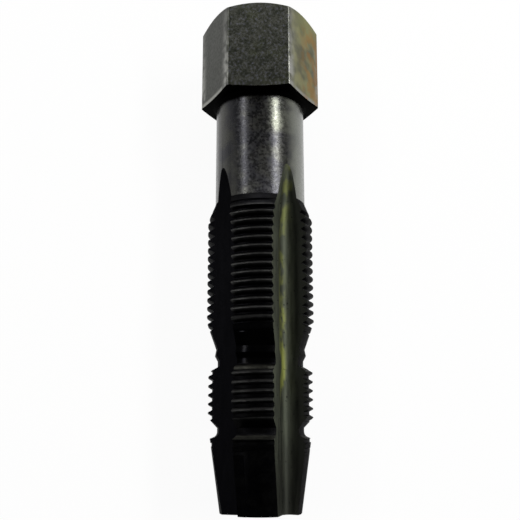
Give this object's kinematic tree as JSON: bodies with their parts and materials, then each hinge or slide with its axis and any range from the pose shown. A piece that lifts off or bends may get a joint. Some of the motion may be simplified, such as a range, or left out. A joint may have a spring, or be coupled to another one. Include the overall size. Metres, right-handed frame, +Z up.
{
  "type": "thread tap",
  "caption": "Combined tapered reamer and straight-fluted tap with a hexagon drive head, for recutting a worn spark-plug hole to take a thread insert.",
  "frame": {"origin": "on the surface that the tap lies on, under the middle of its length", "axes": "+Y along the tap from its tip to its head, +Z up from the flat of the head that it lies on, +X to the right seen from the tip"},
  "size_m": [0.0182, 0.074, 0.0159],
  "materials": {
    "tool_steel": "black oxide over ground high-speed steel, worn brighter along the edges, with traces of rust on the head"
  },
  "bodies": {
    "root": {"tap_body": "tool_steel"}
  },
  "joints": []
}
